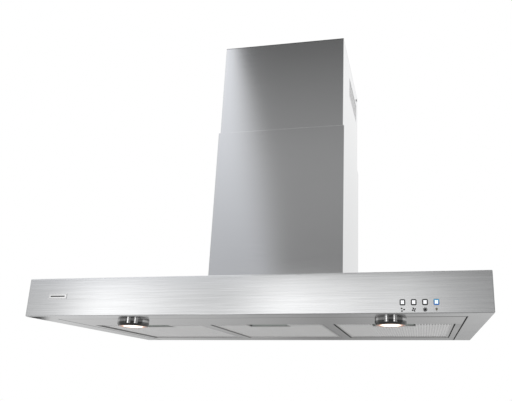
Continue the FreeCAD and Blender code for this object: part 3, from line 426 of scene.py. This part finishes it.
def badge_steel(name):
    """A polished plate with a dark engraved frame line and one plain dark enamel bar."""
    f = Finish(name, {"Metallic": 1.0})
    x, _, z = f.axes()
    middle, half = middle_and_half("badge_plate")
    across = (x - middle.x).size()
    rise = (z - middle.z).size()
    to_edge = (half.x - across).least(half.z - rise)
    line = to_edge.ramp(0.5 * MM, 0.7 * MM) * (1 - to_edge.ramp(1.1 * MM, 1.3 * MM))
    bar = 1 - across.ramp(half.x - 4.2 * MM, half.x - 3.9 * MM)
    bar = bar * (1 - rise.ramp(1.1 * MM, 1.4 * MM))
    dark = line * 0.7 + bar
    speck = f.grain(800.0)
    f.feed("Base Color", f.tint(dark, f.tint(speck, grey(0.86), grey(0.94)), grey(0.06)))
    f.feed("Roughness", dark * 0.3 + speck * 0.05 + 0.12)
    f.feed("Metallic", 1 - bar * 0.8)
    return f


def past_edge(across, rise, half):
    """How far a place lies past the edge of an oblong of half such a size, below nought inside."""
    return (across.size() - half.x).most(rise.size() - half.z)


def lit_buttons(name):
    """Milky button caps: a faint cross where four light cells meet, a dark border, and the last
    one bluish."""
    f = Finish(name, {
        "Emission Strength": 0.5, "Roughness": 0.22, "Coat Weight": 0.4, "Coat Roughness": 0.08,
    })
    x, y, z = f.axes()
    first, second, last = [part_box("button_" + speed)[0] for speed in ("low", "medium", "light")]
    middle, half = middle_and_half("button_low")
    across = (x - middle.x).nearest(second.x - first.x)
    rise = z - middle.z
    cross = across.size().least(rise.size()).ramp(0.0, 0.9 * MM)
    border = past_edge(across, rise, half).ramp(-0.8 * MM, -0.5 * MM)
    blue = x.above(last.x - 1 * MM)
    front = y.ramp(first.y + 0.5 * MM, first.y)
    milk = f.tint(cross, (0.66, 0.67, 0.69, 1.0), (0.88, 0.89, 0.90, 1.0))
    f.feed("Base Color", f.tint(border, milk, grey(0.05)))
    glow = f.tint(blue, (0.80, 0.82, 0.85, 1.0), (0.62, 0.86, 1.0, 1.0))
    edge = f.tint(blue, BLACK, (0.02, 0.36, 0.90, 1.0))
    lit = f.tint(front * (cross * 0.6 + 0.4), (0.10, 0.10, 0.11, 1.0), glow)
    f.feed("Emission Color", f.tint(border, lit, edge))
    return f


def button_rims(name):
    """Glossy black rims; the one round the light button takes its blue glow."""
    f = Finish(name, {"Emission Strength": 1.0, "Coat Weight": 0.6, "Coat Roughness": 0.06})
    x, y, z = f.axes()
    lo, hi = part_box("button_light")
    middle, half = middle_and_half("button_light")
    near = past_edge(x - middle.x, z - middle.z, half).ramp(1.9 * MM, 0.4 * MM)
    glow = near * y.ramp(lo.y + 1.3 * MM, lo.y + 0.7 * MM)
    pits = f.grain(900.0)
    f.feed("Base Color", f.tint(pits, (0.014, 0.014, 0.016, 1.0), (0.028, 0.028, 0.031, 1.0)))
    f.feed("Roughness", pits * 0.1 + 0.2)
    shine = f.tint(z.ramp(lo.z, hi.z), (0.02, 0.17, 0.62, 1.0), (0.04, 0.36, 0.62, 1.0))
    f.feed("Emission Color", f.tint(glow, BLACK, shine))
    return f


def circuit_board(name):
    """Green lacquer over thin copper tracks, with tinned dots."""
    f = Finish(name, {"Coat Weight": 0.4, "Coat Roughness": 0.15})
    track = ((f.axes()[0] / (4.2 * MM)).fraction() - 0.5).size().ramp(0.40, 0.44)
    dots = f.cells(420.0).ramp(0.22, 0.16)
    pits = f.grain(500.0)
    green = f.tint(track * 0.6 + pits * 0.3, (0.012, 0.070, 0.030, 1.0), (0.035, 0.160, 0.060, 1.0))
    f.feed("Base Color", f.tint(dots * 0.8, green, grey(0.5)))
    f.feed("Roughness", pits * 0.2 + 0.3)
    return f


def printed_mark(name, colour):
    """Matt ink with a soft uneven edge to its tone."""
    f = Finish(name, {})
    speck = f.grain(1500.0)
    light = tuple(c * 1.35 for c in colour) + (1.0,)
    f.feed("Base Color", f.tint(speck, colour + (1.0,), light))
    f.feed("Roughness", speck * 0.2 + 0.45)
    return f


finishes = {
    "brushed_steel": brushed_steel("brushed_steel", 0.68, 0.15, 1.25),
    "underside_steel": underside_steel("underside_steel"),
    "plain_steel": galvanised_steel("plain_steel"),
    "badge": badge_steel("badge"),
    "vent": moulded_plastic("vent", (0.84, 0.84, 0.84), 0.42, spread=0.06),
    "screws": polished_metal("screws", 0.90, 0.55),
    "glide": moulded_plastic("glide", (0.72, 0.72, 0.68), 0.40),
    "scroll": moulded_plastic("scroll", (0.030, 0.030, 0.032), 0.42, 0.10 * MM, 700.0, 0.3),
    "wheel": moulded_plastic("wheel", (0.055, 0.055, 0.060), 0.38, 0.08 * MM, 700.0, 0.3),
    "motor_metal": polished_metal("motor_metal", 0.48, 0.42),
    "rubber": moulded_plastic("rubber", (0.020, 0.020, 0.021), 0.70, 0.05 * MM, 1400.0, 0.3),
    "capacitor_case": moulded_plastic("capacitor_case", (0.62, 0.62, 0.59), 0.35),
    "collar": moulded_plastic("collar", (0.040, 0.040, 0.043), 0.40, 0.10 * MM, 700.0, 0.3),
    "filter_aluminium": filter_aluminium("filter_aluminium"),
    "latch": moulded_plastic("latch", (0.44, 0.47, 0.45), 0.42),
    "spring": polished_metal("spring", 0.58, 0.22),
    "lamp_chrome": ring_chrome("lamp_chrome"),
    "lamp_glass": lit_lens("lamp_glass"),
    "lamp_mirror": polished_metal("lamp_mirror", 0.85, 0.10, 0.05),
    "lamp_holder": moulded_plastic("lamp_holder", (0.66, 0.64, 0.60), 0.50),
    "button_white": lit_buttons("button_white"),
    "button_rim": button_rims("button_rim"),
    "board": circuit_board("board"),
    "case": moulded_plastic("case", (0.028, 0.028, 0.030), 0.45, 0.10 * MM, 800.0, 0.3),
}
for part in frame["record"]["subparts"]:
    node = frame["nodes"][part["node"]]
    node.data.materials.clear()
    node.data.materials.append(finishes[part["material_slot"]].material)
covers_steel = chimney_steel("covers_steel")
for cover in ("lower_chimney_cover", "upper_chimney_cover"):
    frame["nodes"][cover].data.materials[0] = covers_steel.material
frame["nodes"]["canopy_top"].data.materials[0] = finishes["underside_steel"].material


# Meshes

def piece(name, points, faces, finish, body, smooth=True):
    """A mesh piece in its own place, riding on a body."""
    mesh = bpy.data.meshes.new(name)
    mesh.from_pydata(points.tolist(), [], faces)
    mesh.polygons.foreach_set("use_smooth", np.full(len(mesh.polygons), smooth))
    mesh.materials.append(finish.material)
    mesh.update()
    made = bpy.data.objects.new(name, mesh)
    bpy.context.scene.collection.objects.link(made)
    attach(made, body)
    return made


def quads(rows, columns, round_about=False):
    """The faces of a grid of points, by index, each with four corners. Round about, the last column
    is joined to the first."""
    r = np.arange(rows - 1)
    c = np.arange(columns if round_about else columns - 1)
    i, j = [a.ravel() for a in np.meshgrid(r, c, indexing="ij")]
    i2, j2 = i + 1, (j + 1) % columns
    return np.stack([i * columns + j, i2 * columns + j, i2 * columns + j2, i * columns + j2], axis=1)


def tube_faces(sections, corners):
    """The faces of a closed tube: its wall, and a cap over each end."""
    first = list(range(corners))
    last = [(sections - 1) * corners + i for i in first]
    return quads(sections, corners, round_about=True).tolist() + [first[::-1], last]


def slab(low, high):
    """A closed slab between two grids of the same size: both skins, and a strip round the rim."""
    rows, columns = low.shape[:2]
    count = rows * columns
    skin = quads(rows, columns)
    index = np.arange(count).reshape(rows, columns)
    rim = np.concatenate([index[0, :-1], index[:-1, -1], index[-1, :0:-1], index[:0:-1, 0]])
    after = np.roll(rim, -1)
    strip = np.stack([rim, after, after + count, rim + count], axis=1)
    points = np.concatenate([low.reshape(-1, 3), high.reshape(-1, 3)])
    return points, np.concatenate([skin[:, ::-1], skin + count, strip])


def mesh_pad(name, node, body, finish):
    """The grease mesh: ribs from front to back, each one cosine wave across its pitch. A band of
    deeper, shorter ribs at the front and the back is parted from the long middle ones by flat bars.
    Three closed slabs leave the finger slot free. Extra rows lie where a rib's depth changes."""
    lo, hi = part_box(node)
    latch_lo, latch_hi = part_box(node.replace("mesh", "latch"))
    middle = (lo.x + hi.x) / 2
    band_depth, long_depth, hem = 0.8 * MM, 0.5 * MM, 3 * MM
    bar_half, bar_slope, edge_slope = 0.8 * MM, 5.2 * MM, 0.5 * MM
    slot_half = (latch_hi.x - latch_lo.x) / 2 + 3.8 * MM
    slot_back = latch_hi.y + 7.9 * MM
    bars = np.array([lo.y + hem, lo.y + RIB_BAND, hi.y - RIB_BAND, hi.y - hem])
    beside_bars = (bars[:, None] + np.array([-7.0, -6.0, -3.4, -0.8, 0.8, 3.4, 6.0, 7.0]) * MM).ravel()
    beside_ends = np.array([0.0, 0.6, 1.4]) * MM
    all_points, all_faces, start = [], [], 0
    for x0, x1, y0, y1 in (
        (lo.x, middle - slot_half, lo.y, hi.y),
        (middle + slot_half, hi.x, lo.y, hi.y),
        (middle - slot_half, middle + slot_half, slot_back, hi.y),
    ):
        across = np.linspace(x0, x1, int(round((x1 - x0) / RIB_PITCH * 8)) + 1)
        inner = beside_bars[(beside_bars > y0 + 2 * MM) & (beside_bars < y1 - 2 * MM)]
        along = np.unique(np.concatenate([y0 + beside_ends, inner, y1 - beside_ends]))
        x, y = np.meshgrid(across, along, indexing="xy")
        wave = 0.5 - 0.5 * np.cos(2 * np.pi * (x - middle) / RIB_PITCH)
        from_bar = np.min(np.abs(y[..., None] - bars), axis=-1)
        from_edge = np.minimum(np.minimum(y - y0, y1 - y), np.minimum(x - x0, x1 - x))
        fall = np.clip((from_bar - bar_half) / bar_slope, 0, 1) * np.clip(from_edge / edge_slope, 0, 1)
        in_band = (y < bars[1]) | (y > bars[2])
        groove = np.where(in_band, band_depth, long_depth) * wave * fall
        low = np.stack([x, y, lo.z + groove], axis=-1)
        high = np.stack([x, y, hi.z - 0.3 * groove], axis=-1)
        points, faces = slab(low, high)
        all_points.append(points)
        all_faces.append(faces + start)
        start += len(points)
    made = piece(name, np.concatenate(all_points), np.concatenate(all_faces).tolist(),
                 finish, body)
    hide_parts(node)


mesh_finish = mesh_aluminium("mesh_aluminium")
for side in SIDES:
    mesh_pad("mesh_pad_" + side, "filter_mesh_" + side, "filter_" + side, mesh_finish)


def inlay(name, outlines, x, z, ink):
    """A printed mark: closed outlines in the plane of the fascia, each a thin plate with both faces
    and a rim. Each outline is an array of (right, up) corners in millimetres, anticlockwise."""
    face_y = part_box("canopy_fascia")[0].y
    proud = 0.06 * MM
    points, faces, start = [], [], 0
    for outline in outlines:
        count = len(outline)
        right, up = x + outline[:, 0] * MM, z + outline[:, 1] * MM
        for y in (face_y - proud, face_y):
            points.append(np.column_stack([right, np.full(count, y), up]))
        ring = list(range(start, start + count))
        faces.append(ring)
        faces.append([count + i for i in reversed(ring)])
        faces += [[a, a + count, b + count, b] for a, b in zip(ring, ring[1:] + ring[:1])]
        start += 2 * count
    piece(name, np.concatenate(points), faces, ink, "hood", smooth=False)


def fan_blades(count, turn, middle, length, width):
    """Blade outlines about a hub: each an ellipse whose middle lies at a radius, with its long axis
    turned a little from the radius like a swept blade."""
    a = np.linspace(0, 2 * np.pi, 20, endpoint=False)
    out, side = length * np.cos(a), width * np.sin(a)
    blades = []
    for k in range(count):
        angle = turn + 2 * np.pi * k / count
        lean = angle + 0.35
        blades.append(np.column_stack([
            middle * np.cos(angle) + out * np.cos(lean) - side * np.sin(lean),
            middle * np.sin(angle) + out * np.sin(lean) + side * np.cos(lean),
        ]))
    return blades


def disc(radius):
    """A round outline."""
    a = np.linspace(0, 2 * np.pi, 24, endpoint=False)
    return np.column_stack([radius * np.cos(a), radius * np.sin(a)])


def bulb_outlines():
    """A lamp bulb: a round glass that narrows to its neck, and two bars of its cap."""
    a = np.linspace(-0.30 * np.pi, 1.30 * np.pi, 25)
    glass = np.column_stack([2.1 * np.cos(a), 0.9 + 2.1 * np.sin(a)])
    neck = np.array([[-0.95, -1.7], [0.95, -1.7]])
    cap = np.array([[-0.85, -2.5], [0.85, -2.5], [0.85, -2.0], [-0.85, -2.0]])
    tip = np.array([[-0.5, -3.2], [0.5, -3.2], [0.5, -2.8], [-0.5, -2.8]])
    return [np.concatenate([glass, neck]), cap, tip]


SYMBOL_DROP = 13.1 * MM

dark_ink = printed_mark("dark_ink", (0.012, 0.012, 0.013))
brown_ink = printed_mark("brown_ink", (0.13, 0.115, 0.085))
symbols = {
    "low": (fan_blades(3, 0.1, 2.7, 1.75, 1.3), dark_ink),
    "medium": (fan_blades(4, 0.4, 2.4, 1.9, 1.25), dark_ink),
    "high": (fan_blades(8, 0.2, 2.9, 1.3, 0.85) + [disc(1.9)], dark_ink),
    "light": (bulb_outlines(), brown_ink),
}
for speed, (outlines, ink) in symbols.items():
    button = middle_and_half("button_" + speed)[0]
    inlay("symbol_" + speed, outlines, button.x, button.z - SYMBOL_DROP, ink)


def cover_edge(finish):
    """The polished top edge of the lower cover: a round bead carried forward along one side, across
    the front and back along the other, on a path with small round corners."""
    lo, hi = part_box("lower_chimney_cover")
    radius, proud, sunk = 0.45 * MM, 0.02 * MM, 0.1 * MM
    bend, short = 2.0 * MM, 3 * MM
    corner = np.linspace(0, np.pi / 2, 7)
    left = np.column_stack([lo.x + bend - bend * np.cos(corner), lo.y + bend - bend * np.sin(corner)])
    right = np.column_stack([hi.x - bend + bend * np.sin(corner), lo.y + bend - bend * np.cos(corner)])
    path = np.concatenate([[[lo.x, hi.y - short]], left, right, [[hi.x, hi.y - short]]])
    ahead = np.gradient(path, axis=0)
    ahead /= np.linalg.norm(ahead, axis=1, keepdims=True)
    inward = np.column_stack([-ahead[:, 1], ahead[:, 0]])
    turn = np.linspace(0, 2 * np.pi, 10, endpoint=False)
    out = radius - proud + radius * np.cos(turn)
    rise = hi.z - sunk + radius * np.sin(turn)
    ring = path[:, None, :] + inward[:, None, :] * out[None, :, None]
    rise = np.broadcast_to(rise[None, :, None], ring.shape[:2] + (1,))
    points = np.concatenate([ring, rise], axis=-1)
    faces = [face[::-1] for face in tube_faces(len(path), len(turn))]
    piece("cover_edge", points.reshape(-1, 3), faces, finish, "hood")


cover_edge(polished_metal("bright_edge", 0.95, 0.14))


def latch_coils(side):
    """The two coils behind a latch: a wire of 0.22 mm radius round a helix of six turns, its end
    turns closed up, in the place of the plain rods."""
    node = "latch_spring_" + side
    lo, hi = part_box(node)
    coil, wire, turns, inset = 1.05 * MM, 0.22 * MM, 6, 1.3 * MM
    t = np.linspace(0, 1, turns * 14 + 1)
    length = (hi.y - lo.y) - 2 * wire
    run = lo.y + wire + length * (t - np.sin(4 * np.pi * t) * 0.02)
    angle = 2 * np.pi * turns * t
    out = np.column_stack([np.cos(angle), np.zeros_like(angle), np.sin(angle)])
    along = np.array([0.0, 1.0, 0.0])
    around = np.linspace(0, 2 * np.pi, 7, endpoint=False)
    section = out[:, None, :] * np.cos(around)[None, :, None] + along * np.sin(around)[None, :, None]
    middle_z = (lo.z + hi.z) / 2
    points, faces, start = [], [], 0
    for x in (lo.x + inset, hi.x - inset):
        line = np.column_stack([x + coil * np.cos(angle), run, middle_z + coil * np.sin(angle)])
        points.append((line[:, None, :] + wire * section).reshape(-1, 3))
        faces += [[start + i for i in face] for face in tube_faces(len(t), len(around))]
        start += len(t) * len(around)
    made = piece("coils_" + side, np.concatenate(points), faces, finishes["spring"],
                 "filter_" + side)
    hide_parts(node)
    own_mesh(made)


for side in SIDES:
    latch_coils(side)


# Studio

def stage_plane(name, corners, finish, seen):
    """A flat card or floor that isn't part of the hood."""
    mesh = bpy.data.meshes.new(name)
    mesh.from_pydata(corners, [], [(0, 1, 2, 3)])
    mesh.materials.append(finish.material)
    card = bpy.data.objects.new(name, mesh)
    bpy.context.scene.collection.objects.link(card)
    card.visible_camera = seen
    card.visible_glossy = not seen
    if not seen:
        card.visible_diffuse = card.visible_shadow = card.visible_transmission = False


def floor_finish():
    f = Finish("floor", {"Roughness": 0.8})
    f.feed("Base Color", f.tint(f.grain(6.0), grey(0.80), grey(0.84)))
    return f


def window(x, crest, fade):
    """A soft window on the card: it comes up fast to its crest and dies away slowly."""
    return x.ramp(crest - 0.40, crest).least(x.ramp(crest + fade, crest))


def card_at_canopy(x, z):
    """The card's light at the canopy's height: two windows, dim at the left end, with a fade to the
    right."""
    windows = window(x, -1.53, 0.68) * 0.62 + window(x, -0.42, 0.95) * 0.62
    left_end = x.ramp(-1.90, -1.74) * x.ramp(-1.40, -1.65) * 0.10 - x.ramp(-1.75, -2.20) * 0.28
    right_end = x.ramp(0.03, 0.30) * 0.16 - x.ramp(-0.40, -0.22) * 0.10 - x.ramp(0.15, 0.85) * 0.52
    return z.ramp(-0.9, -0.1) * 0.3 + windows + left_end + right_end + 0.62


def card_above(x, z):
    """The card's light above the canopy, lit on the left of a leaning edge and dim on the right,
    and how dim it is there, from nought to one."""
    edge = z * -0.21 - 0.54
    from_middle = (z - 1.1) / 0.9
    bulge = (from_middle * from_middle).least(1.4)
    spread = 0.38 - bulge * 0.20
    dim = ((x - edge) / spread).ramp(-0.5, 0.5)
    left = z * 0.38 + 0.47
    right = 0.375 - bulge * 0.14 - z.ramp(0.65, 0.30) * 0.06 - z.ramp(1.25, 1.55) * 0.025
    return left.towards(right, dim) - z.ramp(0.50, 0.28) * 0.035, dim


def card_finish():
    """The wide soft box in front: its light at the canopy's height and above, and dim below but for
    two upright strips."""
    f = Finish("soft_box", {"Base Color": BLACK, "Emission Strength": 1.0, "Specular IOR Level": 0.0})
    x, _, z = f.axes()
    high, dim = card_above(x, z)
    upper = z.ramp(0.26, 0.32)
    under = z.ramp(-0.12, -0.25) * z.ramp(-0.86, -0.70) * x.ramp(-1.9, -1.6) * x.ramp(2.0, 1.8)
    strips = (x + 0.82).size().ramp(0.20, 0.12) + (x - 1.40).size().ramp(0.20, 0.12)
    level = card_at_canopy(x, z).towards(high, upper).towards(strips * 1.45 + 0.22, under)
    cool = f.tint(upper * (1 - dim), (1.0, 1.0, 1.0, 1.0), (0.975, 0.99, 1.035, 1.0))
    light = f.node("ShaderNodeVectorMath", {"operation": "SCALE"}, {0: cool, "Scale": level})
    f.feed("Emission Color", light)
    return f


def room_behind(aside, rise):
    """The room behind the hood: dark in a narrow level band and in one patch on the left below,
    bright above."""
    low = (aside + 0.17).size() * 0.8 + 0.34 + rise.ramp(-0.18, -0.60) * 0.28
    low = low * (1 - rise.ramp(-0.122, -0.098) * (aside * 0.4 + 0.30))
    patch = aside.ramp(-0.602, -0.612) * aside.ramp(-0.85, -0.72) * rise.ramp(-0.35, -0.20)
    low = low * (1 - patch * 0.94)
    sides = aside.size().ramp(0.22, 0.45) * rise.ramp(0.30, 0.18)
    high = rise.ramp(0.2, 0.6) * 0.15 + 0.92 - sides * 0.45
    return low.towards(high, rise.ramp(-0.04, 0.12))


def room_in_front(aside, rise):
    """The room in front of the hood: lighter above, darker on the right, over a pale floor."""
    right_side = aside.ramp(0.05, 0.30) * (1 - rise.ramp(0.5, 0.9))
    wall = rise.ramp(-0.05, 0.5) * 0.35 + 0.45 - right_side * 0.25
    return wall.towards(0.62, rise.ramp(-0.06, -0.30))


def sky():
    """Plain white to the camera; in reflections a soft grey room, darker straight below."""
    world = bpy.data.worlds.new("studio")
    bpy.context.scene.world = world
    world.use_nodes = True
    room = Nodes(world.node_tree)
    aside, ahead, rise = room.split(room.node("ShaderNodeTexCoord", {}, {}, "Generated"))
    mirrored = room_in_front(aside, rise).towards(room_behind(aside, rise), ahead.ramp(0.0, 0.25))
    mirrored = mirrored * (1 - rise.ramp(-0.80, -0.92) * 0.80)
    seen = room.node("ShaderNodeLightPath", {}, {}, "Is Camera Ray")
    glossy = room.node("ShaderNodeLightPath", {}, {}, "Is Glossy Ray")
    lit = mirrored * glossy + (1 - glossy) * 0.78
    level = seen + lit * (1 - seen)
    room.tree.links.new(level.socket, room.tree.nodes["Background"].inputs["Color"])


def set_place(thing, right, up, back, place):
    """Puts a lamp or camera at a place, turned to three directions."""
    matrix = np.eye(4)
    matrix[:3, 0], matrix[:3, 1], matrix[:3, 2], matrix[:3, 3] = right, up, back, place
    thing.matrix_world = Matrix(matrix.tolist())


def soft_lamp(name, place, aim, width, height, power):
    """A soft box lamp that points at a place."""
    data = bpy.data.lights.new(name, "AREA")
    data.shape = "RECTANGLE"
    data.size, data.size_y, data.energy = width, height, power
    lamp = bpy.data.objects.new(name, data)
    bpy.context.scene.collection.objects.link(lamp)
    back = np.array(place) - np.array(aim)
    back = back / np.linalg.norm(back)
    right = np.cross((0.0, 0.0, 1.0), back)
    right = right / np.linalg.norm(right)
    set_place(lamp, right, np.cross(back, right), back, place)
    lamp.visible_camera = False
    lamp.visible_glossy = False


def studio():
    """A floor far below, the card in front, the room and two soft lamps on the left and the right."""
    reach, floor_z = 6, -1.9
    floor = [(x * reach, y * reach, floor_z) for x, y in ((-1, -1), (1, -1), (1, 1), (-1, 1))]
    stage_plane("floor", floor, floor_finish(), True)
    left, right, low, high, card_y = -3.0, 2.0, -0.9, 3.2, -2.5
    card = [(left, card_y, low), (right, card_y, low), (right, card_y, high), (left, card_y, high)]
    stage_plane("soft_box_front", card, card_finish(), False)
    sky()
    soft_lamp("key", (-1.8, -2.6, 1.8), (0.0, -0.2, 0.1), 1.6, 1.2, 22.0)
    soft_lamp("fill", (2.2, -1.8, 0.6), (0.0, -0.2, 0.0), 1.4, 1.4, 8.0)


studio()


# Camera: at the place and angle that the photo's straight edges give

def camera():
    """A camera turned left by yaw, up by pitch and about its own line by roll; its shift puts the
    line of sight where it is in the picture."""
    place = (0.322673, -1.442841, -0.343004)
    yaw, pitch, roll = 0.171367, 0.259292, 0.016383
    focal, across, down, width, height = 533.943, 328.747, 249.197, 512, 401
    ahead = np.array([-math.sin(yaw) * math.cos(pitch), math.cos(yaw) * math.cos(pitch), math.sin(pitch)])
    level = np.array([math.cos(yaw), math.sin(yaw), 0.0])
    above = np.cross(level, ahead)
    right = math.cos(roll) * level + math.sin(roll) * above
    up = -math.sin(roll) * level + math.cos(roll) * above
    data = bpy.data.cameras.new("camera")
    data.sensor_width = 36.0
    data.lens = focal / width * data.sensor_width
    data.shift_x = (width / 2 - across) / width
    data.shift_y = (down - height / 2) / width
    made = bpy.data.objects.new("camera", data)
    bpy.context.scene.collection.objects.link(made)
    set_place(made, right, up, -ahead, place)
    bpy.context.scene.camera = made


camera()
bpy.context.scene.view_settings.view_transform = "Standard"
